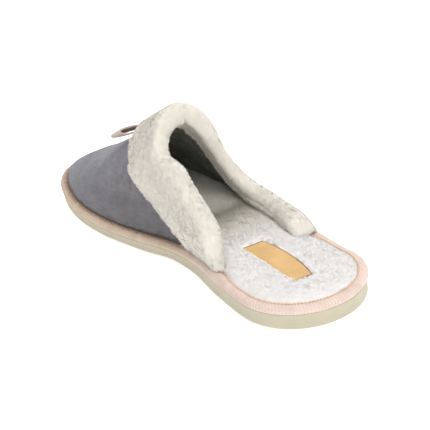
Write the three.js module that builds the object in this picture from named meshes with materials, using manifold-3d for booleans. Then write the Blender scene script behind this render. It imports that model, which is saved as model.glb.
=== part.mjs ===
// Suede house slipper for the right foot, with an open heel, a plush cuff and a small bow.
// Millimetres. +Y points to the toe, +X to the wearer's right, +Z up, and the floor is z = 0.
import * as THREE from 'three';
import Module from 'manifold-3d';

const wasm = await Module();
wasm.setup();

// Sole, in plan
const length = 250;
const heelWidth = 70;
const ballWidth = 85;
const heelRound = 35;
const toeRound = 66;

// Sole, in height
const heelSole = 9;
const frontSole = 5.8;
const heelBand = 4;
const frontBand = 4.4;
const toeSpring = 9;
const springStart = 0.64;
const archLift = 1.2;
const archStart = 0.3;
const archEnd = 0.54;
const archEase = 0.08;
const thinFrom = 0.25;
const thinTo = 0.65;
const soleEdge = 1.4;
const topEdge = 0.8;
const edgeMiddle = 0.3;
const soleDraft = 0.2;

// Tread
const barLength = 8;
const barPitch = 11;
const barHeight = 0.6;

// Upper
const rimInset = 4;
const wall = 2.4;
const shodFrom = 0.20;
const shodTo = 0.26;
const instepRise = 61;
const domeRound = 27;
const seat = 0.3;

// Plush cuff folded over the throat edge
const cuffOuter = 7;
const cuffInner = 5;
const cuffFold = 8;
const footSwell = 0.35;
const footSpread = 1.5;
const footHeight = 16;
const foldLeast = 0.5;
const flapRoom = 0.5;

// Insole and its patch
const insoleRecess = 3;
const insoleCrown = 2;
const crownReach = 9;
const patchLength = 51;
const patchWidth = 17;
const patchEnds = 0.62;
const patchFlare = 1.5;
const patchThickness = 1;
const patchAt = 0.204;
const patchTurn = 5;
const patchShift = -0.6;

// Bow
const loopLength = 21.5;
const ribbonWidth = 14;
const ribbonThickness = 1.6;
const loopHeight = 5.5;
const knotWidth = 10;
const knotDepth = 10;
const knotHeight = 5.5;
const knotBevel = 1.6;
const bowAt = 0.705;
const bowShift = 3;

// Mesh steps
const ringHalf = 30;
const upperRound = 36;
const upperRows = 18;
const loopSteps = 20;
const curveSteps = 10;
const nearby = 0.01;

// Plan: the centre's swing as a share of the ball width, and the growth from heel to ball width
const plan = [
  { at: 0.00, swing: 0.016, growth: 0.00 },
  { at: 0.15, swing: 0.016, growth: -0.07 },
  { at: 0.25, swing: 0.038, growth: -0.11 },
  { at: 0.35, swing: 0.087, growth: -0.04 },
  { at: 0.45, swing: 0.112, growth: 0.20 },
  { at: 0.60, swing: 0.070, growth: 0.75 },
  { at: 0.70, swing: 0.042, growth: 1.00 },
  { at: 0.80, swing: 0.003, growth: 0.94 },
  { at: 0.90, swing: -0.046, growth: 0.90 },
  { at: 1.00, swing: -0.118, growth: 0.88 },
];

// Upper sections across the foot: crest height as a share of the instep rise, the crest's lean
// to the inner side as a share of the ball width, and how far each side goes up (and the outer
// one in) from its base and straight out from the crest, as shares of the section's own height
// and width
const sections = [
  { at: 0.20, crest: 1.600, lean: 0.060, innerUp: 0.40, innerOver: 0.42, outerUp: 0.15, outerIn: 0.10,
    outerOver: 0.25 },
  { at: 0.40, crest: 1.260, lean: 0.055, innerUp: 0.40, innerOver: 0.42, outerUp: 0.12, outerIn: 0.14,
    outerOver: 0.25 },
  { at: 0.56, crest: 1.000, lean: 0.045, innerUp: 0.45, innerOver: 0.42, outerUp: 0.07, outerIn: 0.27,
    outerOver: 0.52 },
  { at: 0.74, crest: 0.630, lean: 0.018, innerUp: 0.55, innerOver: 0.52, outerUp: 0.34, outerIn: 0.05,
    outerOver: 0.42 },
  { at: 0.88, crest: 0.315, lean: 0.000, innerUp: 0.60, innerOver: 0.55, outerUp: 0.50, outerIn: 0.00,
    outerOver: 0.52 },
  { at: 1.00, crest: 0.120, lean: 0.000, innerUp: 0.60, innerOver: 0.55, outerUp: 0.60, outerIn: 0.00,
    outerOver: 0.55 },
];

// Throat edge, round the foot from the inner base over the instep to the outer base: its place
// along the length and across the section, where the cuff's outer and inner flaps end, and the
// outer flap's thickness, the fold's reach and the inner flap's thickness as shares of the full ones
const throat = [
  { at: 0.00, along: 0.272, across: 0.00, outerEnd: 0.410, innerEnd: 0.40, plump: 1.00, fold: 0.80,
    lining: 0.35 },
  { at: 0.10, along: 0.290, across: 0.07, outerEnd: 0.460, innerEnd: 0.46, plump: 1.00, fold: 0.90,
    lining: 0.70 },
  { at: 0.22, along: 0.360, across: 0.11, outerEnd: 0.535, innerEnd: 0.55, plump: 1.00, fold: 0.95,
    lining: 1.00 },
  { at: 0.34, along: 0.432, across: 0.16, outerEnd: 0.600, innerEnd: 0.59, plump: 1.00, fold: 1.10,
    lining: 1.00 },
  { at: 0.40, along: 0.466, across: 0.19, outerEnd: 0.606, innerEnd: 0.60, plump: 1.00, fold: 1.20,
    lining: 0.90 },
  { at: 0.45, along: 0.522, across: 0.25, outerEnd: 0.630, innerEnd: 0.60, plump: 1.00, fold: 0.85,
    lining: 0.45 },
  { at: 0.50, along: 0.562, across: 0.45, outerEnd: 0.665, innerEnd: 0.60, plump: 1.00, fold: 0.40,
    lining: 0.60 },
  { at: 0.56, along: 0.555, across: 0.65, outerEnd: 0.665, innerEnd: 0.59, plump: 1.15, fold: 0.50,
    lining: 1.00 },
  { at: 0.62, along: 0.545, across: 0.76, outerEnd: 0.650, innerEnd: 0.58, plump: 0.40, fold: 0.70,
    lining: 1.00 },
  { at: 0.69, along: 0.510, across: 0.88, outerEnd: 0.610, innerEnd: 0.56, plump: 0.65, fold: 0.80,
    lining: 1.00 },
  { at: 0.80, along: 0.410, across: 0.94, outerEnd: 0.530, innerEnd: 0.54, plump: 0.75, fold: 0.90,
    lining: 1.05 },
  { at: 0.91, along: 0.290, across: 0.96, outerEnd: 0.460, innerEnd: 0.52, plump: 0.80, fold: 1.00,
    lining: 1.25 },
  { at: 1.00, along: 0.260, across: 1.00, outerEnd: 0.400, innerEnd: 0.44, plump: 1.00, fold: 1.00,
    lining: 1.10 },
];

const mix = THREE.MathUtils.lerp;

// Smooth curve through one column of a table, without overshoot between its rows
function through(rows, column) {
  const x = rows.map((row) => row.at);
  const y = rows.map((row) => row[column]);
  const step = x.slice(1).map((end, i) => (y[i + 1] - y[i]) / (end - x[i]));
  const slope = x.map((_, i) => {
    const before = step[i - 1] ?? step[i];
    const after = step[i] ?? step[i - 1];
    return before * after > 0 ? 2 * before * after / (before + after) : 0;
  });
  return (place) => {
    const p = THREE.MathUtils.clamp(place, x[0], x[x.length - 1]);
    const i = Math.max(0, x.findIndex((end) => end >= p) - 1);
    const span = x[i + 1] - x[i];
    const t = (p - x[i]) / span;
    const rise = t * t * (3 - 2 * t);
    const bend = t * (1 - t) * span;
    return mix(y[i], y[i + 1], rise) + bend * (slope[i] * (1 - t) - slope[i + 1] * t);
  };
}

const curves = (rows) => Object.fromEntries(
  Object.keys(rows[0]).filter((key) => key !== 'at').map((key) => [key, through(rows, key)]),
);

const foot = curves(plan);
const form = curves(sections);
const edge = curves(throat);

// Share of the full width or height at a distance from a rounded end
const roundEnd = (d) => (d >= 1 ? 1 : Math.sqrt(Math.max(0, 1 - (1 - d) ** 2)));
const smooth = (t) => THREE.MathUtils.smoothstep(t, 0, 1);

const share = (y) => y / length + 0.5;
const place = (s) => (s - 0.5) * length;
const centre = (y) => foot.swing(share(y)) * ballWidth;

function half(y, inset) {
  const full = mix(heelWidth, ballWidth, foot.growth(share(y))) / 2 - inset;
  const toToe = (length / 2 - inset - y) / (toeRound - inset);
  const toHeel = (length / 2 - inset + y) / (heelRound - inset);
  return full * roundEnd(toToe) * roundEnd(toHeel);
}

// Heights along the shoe
function springAt(y) {
  const rise = Math.max(0, (share(y) - springStart) / (1 - springStart));
  return toeSpring * rise ** 2;
}
const toFront = (y) => smooth((share(y) - thinFrom) / (thinTo - thinFrom));
const soleTop = (y) => springAt(y) + mix(heelSole, frontSole, toFront(y));
const seam = (y) => soleTop(y) + mix(heelBand, frontBand, toFront(y));
function floorAt(y) {
  const s = share(y);
  const arch = smooth((s - archStart) / archEase) * smooth((archEnd - s) / archEase);
  return springAt(y) + archLift * arch;
}

// Closed body from vertices and faces, with equal vertices merged and empty faces dropped
class Body {
  constructor() {
    this.points = [];
    this.faces = [];
    this.known = new Map();
  }

  point(p) {
    const key = [p.x, p.y, p.z].map((v) => Math.round(v * 1e4)).join();
    if (!this.known.has(key)) {
      this.known.set(key, this.points.length);
      this.points.push(p);
    }
    return this.known.get(key);
  }

  face(a, b, c) {
    if (a !== b && b !== c && c !== a) this.faces.push([a, b, c]);
  }

  quad(a, b, c, d) {
    this.face(a, b, c);
    this.face(a, c, d);
  }

  // Strip between two rows of as many points, facing left of the first row's direction
  strip(one, two, closed = false) {
    const a = one.map((p) => this.point(p));
    const b = two.map((p) => this.point(p));
    const last = closed ? a.length : a.length - 1;
    for (let i = 0; i < last; i += 1) {
      const j = (i + 1) % a.length;
      this.quad(a[i], a[j], b[j], b[i]);
    }
  }

  geometry() {
    const geometry = new THREE.BufferGeometry();
    geometry.setAttribute('position', new THREE.Float32BufferAttribute(
      this.points.flatMap((p) => [p.x, p.y, p.z]), 3,
    ));
    geometry.setIndex(this.faces.flat());
    return geometry;
  }
}

// Plan ring at an inset: up the inner side from the heel, round the toe and back
function ring(inset, height) {
  const insetAt = typeof inset === 'function' ? inset : () => inset;
  const points = [];
  for (let k = 0; k < 2 * ringHalf; k += 1) {
    const turn = (k * Math.PI) / ringHalf;
    const nose = Math.cos(turn) < 0 ? insetAt(length / 2) : insetAt(-length / 2);
    const y = -(length / 2 - nose) * Math.cos(turn);
    const side = k % ringHalf === 0 ? 0 : -Math.sign(Math.sin(turn));
    const x = centre(y) + side * half(y, insetAt(y));
    points.push(new THREE.Vector3(x, y, height(y)));
  }
  return points;
}

// Body between stacked rings, lowest first, closed by strips across its two ends
function stack(rings) {
  const body = new Body();
  rings.slice(1).forEach((upper, i) => body.strip(upper, rings[i], true));
  const across = (points, facingUp) => {
    const left = points.slice(0, ringHalf + 1);
    const right = [points[0], ...points.slice(ringHalf).reverse()];
    if (facingUp) body.strip(right, left);
    else body.strip(left, right);
  };
  across(rings[rings.length - 1], true);
  across(rings[0], false);
  return body.geometry();
}

function solid(geometry) {
  return new wasm.Manifold(new wasm.Mesh({
    numProp: 3,
    vertProperties: new Float32Array(geometry.getAttribute('position').array),
    triVerts: new Uint32Array(geometry.getIndex().array),
  }));
}

function fromSolid(cut) {
  const mesh = cut.getMesh();
  const geometry = new THREE.BufferGeometry();
  geometry.setAttribute('position', new THREE.BufferAttribute(mesh.vertProperties, 3));
  geometry.setIndex(new THREE.BufferAttribute(mesh.triVerts, 1));
  return geometry;
}

function positionOnly(geometry) {
  const plain = new Body();
  const position = geometry.getAttribute('position');
  const index = geometry.getIndex();
  const count = index ? index.count : position.count;
  const corner = (i) => {
    const at = index ? index.getX(i) : i;
    return plain.point(new THREE.Vector3().fromBufferAttribute(position, at));
  };
  for (let i = 0; i < count; i += 3) plain.face(corner(i), corner(i + 1), corner(i + 2));
  return plain.geometry();
}

// Rows of tread bars under the heel, the ball and the toe, with none under the waist;
// `across` is a share of the ball width
const treads = [
  { from: 0.070, bars: 5, across: 0.47 },
  { from: 0.545, bars: 3, across: 0.7 },
  { from: 0.677, bars: 2, across: 0.7 },
  { from: 0.765, bars: 2, across: 0.64 },
  { from: 0.853, bars: 2, across: 0.45 },
];

function treadBar(row, i) {
  const middle = place(row.from) + ((row.bars - 1) * barPitch) / 2;
  const y = place(row.from) + i * barPitch;
  const bar = new THREE.BoxGeometry(row.across * ballWidth, barLength, 2 * barHeight);
  bar.rotateX(Math.atan((floorAt(y + 1) - floorAt(y - 1)) / 2));
  bar.translate(centre(middle), y, floorAt(y) + barHeight);
  return solid(positionOnly(bar));
}

function outsole() {
  const base = (y) => floorAt(y) + barHeight;
  const body = solid(stack([
    ring(soleEdge, base),
    ring(soleEdge * edgeMiddle, (y) => base(y) + soleEdge * edgeMiddle),
    ring(0, (y) => base(y) + soleEdge),
    ring(soleDraft, (y) => soleTop(y) - seat - topEdge),
    ring(topEdge, (y) => soleTop(y) - seat),
  ]));
  const bars = treads.flatMap((row) => Array.from({ length: row.bars }, (_, i) => treadBar(row, i)));
  return fromSolid(bars.reduce((whole, bar) => whole.add(bar), body));
}

// Room inside the rim: narrower where the upper stands beside the insole
function rimInside(extra) {
  const open = rimInset + seat;
  const shod = rimInset + wall + seat;
  const toShod = (y) => smooth((share(y) - shodFrom) / (shodTo - shodFrom));
  return (y) => mix(open, shod, toShod(y)) + extra;
}

// Band from the sole over the rounded rim to the seam: inset as a share of the rim's, and height
// as a share of the band's
const bandSide = [
  { inset: 0.20, up: 0.00 },
  { inset: 0.05, up: 0.15 },
  { inset: -0.18, up: 0.50 },
  { inset: 0.10, up: 0.83 },
  { inset: 0.45, up: 0.96 },
  { inset: 0.90, up: 1.00 },
];

function midsole() {
  return stack([
    ...bandSide.map((row) => ring(row.inset * rimInset, (y) => mix(soleTop(y), seam(y), row.up))),
    ring(rimInside(0), seam),
    ring(rimInside(0), (y) => seam(y) - insoleRecess),
  ]);
}

// Upper's own surface: along the length, across the section from the inner to the outer base,
// and out from the outer face of its wall
function upper(y, across, out) {
  const s = share(y);
  const inset = rimInset - out;
  const tip = length / 2 - inset;
  const width = half(y, inset);
  const base = seam(y) + seat;
  const rise = form.crest(s) * instepRise + out;
  const crest = new THREE.Vector2(
    centre(y) - form.lean(s) * ballWidth,
    base + Math.max(0, rise) * roundEnd((tip - y) / (domeRound + out)),
  );
  const inner = across < 0.5;
  const foot0 = new THREE.Vector2(centre(y) + (inner ? -width : width), base);
  const up = inner ? form.innerUp(s) : form.outerUp(s);
  const over = inner ? form.innerOver(s) : form.outerOver(s);
  const inwards = inner ? 0 : form.outerIn(s);
  const shoulder = new THREE.Vector2(mix(foot0.x, crest.x, inwards), mix(base, crest.y, up));
  const brow = new THREE.Vector2(mix(crest.x, foot0.x, over), crest.y);
  const curve = new THREE.CubicBezierCurve(foot0, shoulder, brow, crest);
  const at = curve.getPoint(2 * (inner ? across : 1 - across));
  return new THREE.Vector3(at.x, y, at.y);
}

// Point of the upper from the toe tip (0) to the throat edge (1), round the foot, and out
function around(t, w, out) {
  const tip = length / 2 - rimInset + out;
  const y = mix(tip, place(edge.along(w)), t);
  const across = mix(w, edge.across(w), t);
  return upper(y, THREE.MathUtils.clamp(across, 0, 1), out);
}

// Point beyond the throat edge: on from the wall, square to the edge, and out
function beyond(w, past, out) {
  const here = around(1, w, 0);
  const before = around(1, Math.max(0, w - nearby), 0);
  const along = around(1, Math.min(1, w + nearby), 0).sub(before).normalize();
  const facing = around(1, w, 1).sub(here);
  facing.addScaledVector(along, -facing.dot(along)).normalize();
  const on = new THREE.Vector3().crossVectors(along, facing);
  if (w === 0 || w === 1) on.set(0, -1, 0);
  const point = around(1, w, out).addScaledVector(on, past);
  if (w === 0 || w === 1) point.z = seam(point.y) + seat;
  return point;
}

const steps = (n) => Array.from({ length: n + 1 }, (_, i) => i / n);
const rounds = steps(upperRound);

// Shell of the upper between two offsets from its outer face, ending a little past the throat
// and sunk a little below its base
function shell(outer, inner, past = 0, sink = 0) {
  const body = new Body();
  const rows = steps(upperRows).map((t) => t * (1 + t) / 2);
  const line = (w, out, down) => {
    const points = rows.map((t) => around(t, w, out));
    if (past > 0) points.push(beyond(w, past, out));
    points.forEach((p) => { p.z -= down; });
    return points;
  };
  const path = (w, down) => ({ outside: line(w, outer, down), inside: line(w, inner, down) });
  const paths = rounds.map((w) => path(w, 0));
  if (sink > 0) {
    paths.unshift(path(0, sink));
    paths.push(path(1, sink));
  }
  const end = paths[0].outside.length - 1;
  paths.slice(1).forEach((next, i) => {
    const here = paths[i];
    body.strip(here.outside, next.outside);
    body.strip(next.inside, here.inside);
    body.strip([here.outside[end], here.inside[end]], [next.outside[end], next.inside[end]]);
  });
  const last = paths[paths.length - 1];
  body.strip(paths[0].inside, paths[0].outside);
  body.strip(last.outside, last.inside);
  return body.geometry();
}

const vamp = () => shell(0, -wall);

// Height of the wall above the seam, as a share of the height of the cuff's foot
function footRise(t, w) {
  const point = around(Math.min(t, 1), w, 0);
  return smooth((point.z - seam(point.y)) / footHeight);
}

// Outside, the cuff thins to the rim at its foot; inside, it spreads over the insole
const outerSwell = (t, w) => mix(footSwell, 1, footRise(t, w)) * edge.plump(w);
const innerSwell = (t, w) => mix(footSpread, 1, footRise(t, w)) * edge.lining(w);

function cuffShare(w, end) {
  const throatY = place(edge.along(w));
  const tip = length / 2 - rimInset;
  return (tip - place(end(w))) / (tip - throatY);
}

// Cuff section: from the outer flap's end over the fold to the inner flap's end, as shares of
// the flap's or the fold's reach and of the flap's thickness
const outerFlap = [
  { back: 0.00, thick: 0.10 },
  { back: 0.01, thick: 0.60 },
  { back: 0.06, thick: 0.92 },
  { back: 0.20, thick: 1.00 },
  { back: 0.60, thick: 1.05 },
  { back: 0.95, thick: 1.10 },
];
const fold = [
  { past: 0.45, out: 1.00 },
  { past: 0.85, out: 0.62 },
  { past: 1.00, out: 0.10 },
  { past: 0.85, out: -0.62 },
  { past: 0.40, out: -1.00 },
];
const innerFlap = [
  { back: 0.95, thick: 1.10 },
  { back: 0.60, thick: 1.05 },
  { back: 0.20, thick: 1.00 },
  { back: 0.05, thick: 0.85 },
  { back: 0.00, thick: 0.40 },
];

function cuffSection(w) {
  const front = cuffShare(w, edge.outerEnd);
  const back = cuffShare(w, edge.innerEnd);
  const middle = -wall / 2;
  const outward = (t, thick) => around(t, w, seat + thick * cuffOuter * outerSwell(t, w));
  const inward = (t, thick) => around(t, w, -wall - seat - thick * cuffInner * innerSwell(t, w));
  const past = cuffFold * mix(foldLeast, 1, outerSwell(1, w)) * edge.fold(w);
  return [
    around(front, w, middle),
    ...outerFlap.map((row) => outward(mix(front, 1, row.back), row.thick)),
    ...fold.map((row) => {
      const swell = row.out > 0 ? cuffOuter * outerSwell(1, w) : cuffInner * innerSwell(1, w);
      const side = swell + wall / 2 + seat;
      return beyond(w, past * row.past, middle + row.out * side);
    }),
    ...innerFlap.map((row) => inward(mix(back, 1, row.back), row.thick)),
    around(back, w, middle),
  ];
}

function plushCollar() {
  const body = new Body();
  const sectionsRound = rounds.map(cuffSection);
  sectionsRound.slice(1).forEach((next, i) => body.strip(sectionsRound[i], next, true));
  const cap = (points, first) => {
    const n = points.length;
    const half0 = Math.floor(n / 2);
    const one = points.slice(0, half0);
    const two = points.slice(n - half0).reverse();
    if (first) body.strip(two, one);
    else body.strip(one, two);
    if (n % 2) {
      const [a, b, c] = [one[half0 - 1], points[half0], two[half0 - 1]].map((p) => body.point(p));
      if (first) body.face(a, c, b);
      else body.face(a, b, c);
    }
  };
  cap(sectionsRound[0], true);
  cap(sectionsRound.at(-1), false);
  const room = solid(shell(flapRoom, -wall - seat, 2 * seat, 2 * seat)).add(solid(insoleForm(seat)));
  return fromSolid(solid(body.geometry()).subtract(room));
}

// Insole's rounded top edge: shares of the crown's reach inwards and of its height
const insoleEdge = [
  { reach: 0.00, up: -0.10 },
  { reach: 0.10, up: 0.15 },
  { reach: 0.45, up: 0.70 },
  { reach: 1.00, up: 1.00 },
];

const insoleTop = (y) => seam(y) + insoleCrown;

function insoleForm(grow) {
  const side = rimInside(seat - grow);
  return stack([
    ring((y) => side(y) + seat, (y) => seam(y) - insoleRecess + seat),
    ring(side, (y) => seam(y) - insoleRecess + 2 * seat),
    ...insoleEdge.map((row) => ring(
      (y) => side(y) + row.reach * crownReach,
      (y) => seam(y) + row.up * insoleCrown + grow,
    )),
  ]);
}

const insole = () => fromSolid(solid(insoleForm(0)).subtract(solid(patch(seat, 2 * patchThickness))));

// Patch with cut ends, bulging on the outer side and flaring to the front on the inner, let into
// the insole by its own thickness
function patch(grow, thickness) {
  const end = patchLength / 2 + grow;
  const belly = patchWidth / 2 + grow;
  const cut = belly * patchEnds;
  const pull = 2 * belly - cut;
  const outline = new THREE.Shape();
  outline.moveTo(-cut, -end);
  outline.lineTo(cut, -end);
  outline.quadraticCurveTo(pull, 0, cut, end);
  outline.lineTo(-cut * patchFlare, end);
  outline.lineTo(-cut, -end);
  const geometry = new THREE.ExtrudeGeometry(outline, {
    depth: thickness, bevelEnabled: false, curveSegments: curveSteps,
  });
  const y = place(patchAt);
  geometry.rotateZ(THREE.MathUtils.degToRad(-patchTurn));
  geometry.translate(centre(y) + patchShift, y, insoleTop(y) - patchThickness - grow);
  return positionOnly(geometry);
}

// Bow: a bent strip for each loop and a rounded knot, built level and laid on the instep. The
// pinch brings the strip's front edges together, as a share of the loop's height
const loopRows = [
  { at: 0.00, out: 0.00, up: -0.36, broad: 0.45, pinch: 0.05 },
  { at: 0.22, out: 0.45, up: -0.36, broad: 0.80, pinch: 0.16 },
  { at: 0.42, out: 0.90, up: -0.12, broad: 1.00, pinch: 0.10 },
  { at: 0.50, out: 1.00, up: 0.14, broad: 1.00, pinch: 0.00 },
  { at: 0.58, out: 0.90, up: 0.40, broad: 1.00, pinch: -0.08 },
  { at: 0.78, out: 0.45, up: 0.34, broad: 0.80, pinch: -0.24 },
  { at: 1.00, out: 0.00, up: 0.08, broad: 0.45, pinch: -0.05 },
];

function bowLoop(side) {
  const loop = curves(loopRows);
  const body = new Body();
  const start = knotWidth / 2 + seat;
  const section = (t) => {
    const at = (u) => new THREE.Vector2(
      start + loop.out(u) * (loopLength - start),
      loop.up(u) * loopHeight,
    );
    const along = at(Math.min(1, t + nearby)).sub(at(Math.max(0, t - nearby))).normalize();
    const normal = new THREE.Vector2(-along.y, along.x).multiplyScalar(ribbonThickness / 2);
    const broad = (loop.broad(t) * ribbonWidth) / 2;
    const low = at(t).sub(normal);
    const high = at(t).add(normal);
    const front = loop.pinch(t) * loopHeight;
    const corner = (p, y, lift) => new THREE.Vector3(side * p.x, y, p.y + lift);
    return [
      corner(low, -broad, 0),
      corner(low, broad, front),
      corner(high, broad, front),
      corner(high, -broad, 0),
    ];
  };
  const rows = steps(loopSteps).map(section);
  rows.slice(1).forEach((next, i) => {
    if (side > 0) body.strip(rows[i], next, true);
    else body.strip(next, rows[i], true);
  });
  const cap = (row) => {
    const [a, b, c, d] = row.map((p) => body.point(p));
    body.quad(a, b, c, d);
  };
  const first = side > 0 ? rows[0].slice().reverse() : rows[0];
  const final = side > 0 ? rows[rows.length - 1] : rows[rows.length - 1].slice().reverse();
  cap(first);
  cap(final);
  return body.geometry();
}

function bowKnot() {
  const profile = new THREE.Shape();
  profile.absellipse(0, 0, knotDepth / 2, knotHeight / 2, 0, 2 * Math.PI);
  const geometry = new THREE.ExtrudeGeometry(profile, {
    depth: knotWidth - 2 * knotBevel,
    bevelThickness: knotBevel,
    bevelSize: knotBevel,
    bevelOffset: -knotBevel,
    bevelSegments: 2,
    curveSegments: curveSteps,
  });
  geometry.translate(0, 0, knotBevel - knotWidth / 2);
  geometry.rotateX(Math.PI / 2);
  geometry.rotateZ(Math.PI / 2);
  return positionOnly(geometry);
}

const suede = new THREE.MeshStandardMaterial({ color: 0x7d7c80, roughness: 0.95, metalness: 0 });
const plush = new THREE.MeshStandardMaterial({ color: 0xe9e5df, roughness: 1, metalness: 0 });
const band = new THREE.MeshStandardMaterial({ color: 0xd9c0aa, roughness: 0.85, metalness: 0 });
const rubber = new THREE.MeshStandardMaterial({ color: 0xcfc4a2, roughness: 0.6, metalness: 0 });
const vinyl = new THREE.MeshStandardMaterial({ color: 0xeec482, roughness: 0.5, metalness: 0 });
const ribbon = new THREE.MeshStandardMaterial({ color: 0xcdb5aa, roughness: 0.6, metalness: 0 });

function piece(name, geometry, material) {
  const mesh = new THREE.Mesh(geometry, material);
  mesh.name = name;
  return mesh;
}

const group = new THREE.Group();
const shoe = new THREE.Group();
shoe.add(
  piece('vamp', vamp(), suede),
  piece('outsole', outsole(), rubber),
  piece('midsole', midsole(), band),
  piece('insole', insole(), plush),
  piece('plush_collar', plushCollar(), plush),
  piece('insole_label', patch(0, patchThickness), vinyl),
);

const bow = new THREE.Group();
bow.add(
  piece('bow_loop_medial', bowLoop(-1), ribbon),
  piece('bow_loop_lateral', bowLoop(1), ribbon),
  piece('bow_knot', bowKnot(), ribbon),
);
const bowY = place(bowAt);
const crestAt = (y) => upper(y, 0.5, 0);
const bowSlope = Math.atan2(crestAt(bowY + 2).z - crestAt(bowY - 2).z, 4);
bow.rotation.x = bowSlope;
bow.position.copy(crestAt(bowY)).add(new THREE.Vector3(bowShift, 0, 0)).add(
  new THREE.Vector3(0, -Math.sin(bowSlope), Math.cos(bowSlope)).multiplyScalar(knotHeight / 2 + seat),
);
shoe.add(bow);

// Origin under the middle of the outline
const bulge = Math.min(...bandSide.map((row) => row.inset)) * rimInset;
const outline = ring(bulge, seam).map((p) => p.x);
const innerMost = Math.min(...outline);
const outerMost = Math.max(...outline);
shoe.position.x = -(innerMost + outerMost) / 2;
group.add(shoe);

export default group;
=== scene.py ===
"""Suede house slipper for the right foot, dressed for rendering. Metres in Blender, and the
tables below are in millimetres or in shares of named sizes, as in the part's own source."""
import math

import bmesh
import bpy
import numpy as np
from mathutils import Matrix, Vector


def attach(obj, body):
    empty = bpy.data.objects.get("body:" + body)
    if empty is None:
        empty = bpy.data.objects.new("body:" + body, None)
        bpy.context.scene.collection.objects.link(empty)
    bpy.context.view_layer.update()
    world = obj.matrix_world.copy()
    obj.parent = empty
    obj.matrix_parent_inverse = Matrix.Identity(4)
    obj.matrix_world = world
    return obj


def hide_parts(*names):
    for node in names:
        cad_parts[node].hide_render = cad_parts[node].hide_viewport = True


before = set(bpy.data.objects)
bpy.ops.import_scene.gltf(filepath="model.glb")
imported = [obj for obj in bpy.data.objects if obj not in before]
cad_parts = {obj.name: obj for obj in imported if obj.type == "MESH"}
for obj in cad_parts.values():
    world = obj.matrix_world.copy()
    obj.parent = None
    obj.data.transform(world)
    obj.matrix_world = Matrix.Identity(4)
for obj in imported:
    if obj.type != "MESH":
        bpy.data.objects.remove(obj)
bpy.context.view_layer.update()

MM = 0.001

# Sole
LENGTH, HEEL_WIDTH, BALL_WIDTH = 250, 70, 85
HEEL_ROUND, TOE_ROUND = 35, 66
HEEL_SOLE, FRONT_SOLE, HEEL_BAND, FRONT_BAND = 9, 5.8, 4, 4.4
TOE_SPRING, SPRING_START, ARCH_LIFT = 9, 0.64, 1.2
ARCH_START, ARCH_END, ARCH_EASE = 0.3, 0.54, 0.08
THIN_FROM, THIN_TO = 0.25, 0.65
SOLE_EDGE = 1.4
BAR_LENGTH, BAR_PITCH, BAR_HEIGHT = 8, 11, 0.6

# Band and its stitches; the rim sinks a little under the upper
GATHER_PITCH, RIM_SINK = 1.8, 0.8
STITCH_PITCH, STITCH_LENGTH, STITCH_THICK, STITCH_RISE, STITCHED_TO = 1.9, 1.6, 0.34, 0.28, 0.30

# Upper, cuff, insole
RIM_INSET, WALL, INSTEP_RISE, DOME_ROUND, SEAT = 4, 2.4, 61, 27, 0.3
SHOD_FROM, SHOD_TO = 0.20, 0.26
CUFF_OUTER, CUFF_INNER, CUFF_FOLD = 7, 5, 8
FOOT_SWELL, FOOT_SPREAD, FOOT_HEIGHT, FOLD_LEAST = 0.35, 1.5, 16, 0.5
INSOLE_RECESS, INSOLE_CROWN, CROWN_REACH = 3, 2, 9
PATCH_LENGTH, PATCH_WIDTH, PATCH_ENDS, PATCH_FLARE = 51, 17, 0.62, 1.5
PATCH_AT, PATCH_TURN, PATCH_SHIFT = 0.204, 5, -0.6
PATCH_DEPTH, PATCH_SINK, PATCH_THICK, PATCH_DOME = 1.5, 1.05, 0.5, 0.55

# Bow
LOOP_LENGTH, RIBBON_WIDTH, LOOP_HEIGHT, RIBBON_HALF = 21.5, 14, 5.5, 0.45
KNOT_WIDTH, KNOT_DEPTH, KNOT_HEIGHT = 10, 10, 5.5
BOW_AT, BOW_SHIFT = 0.705, 3

# Unevenness of the soft forms: height, cell size and seed of each wave
SUEDE_WAVES = ((0.35, 16, 11), (0.18, 7, 12))
CUFF_WAVES = ((0.45, 15, 21), (0.25, 6, 22), (0.15, 2.4, 23))
INSOLE_WAVES = ((0.3, 12, 31), (0.15, 5, 32), (0.1, 2.4, 33))


def table(names, *rows):
    """Rows of numbers as a dict of columns."""
    return dict(zip(names.split(), np.array(rows, float).T))


PLAN = table(
    "at swing growth",
    (0.00, 0.016, 0.00), (0.15, 0.016, -0.07), (0.25, 0.038, -0.11), (0.35, 0.087, -0.04),
    (0.45, 0.112, 0.20), (0.60, 0.070, 0.75), (0.70, 0.042, 1.00), (0.80, 0.003, 0.94),
    (0.90, -0.046, 0.90), (1.00, -0.118, 0.88),
)
SECTIONS = table(
    "at crest lean inner_up inner_over outer_up outer_in outer_over",
    (0.20, 1.600, 0.060, 0.40, 0.42, 0.15, 0.10, 0.25),
    (0.40, 1.260, 0.055, 0.40, 0.42, 0.12, 0.14, 0.25),
    (0.56, 1.000, 0.045, 0.45, 0.42, 0.07, 0.27, 0.52),
    (0.74, 0.630, 0.018, 0.55, 0.52, 0.34, 0.05, 0.42),
    (0.88, 0.315, 0.000, 0.60, 0.55, 0.50, 0.00, 0.52),
    (1.00, 0.120, 0.000, 0.60, 0.55, 0.60, 0.00, 0.55),
)
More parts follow.
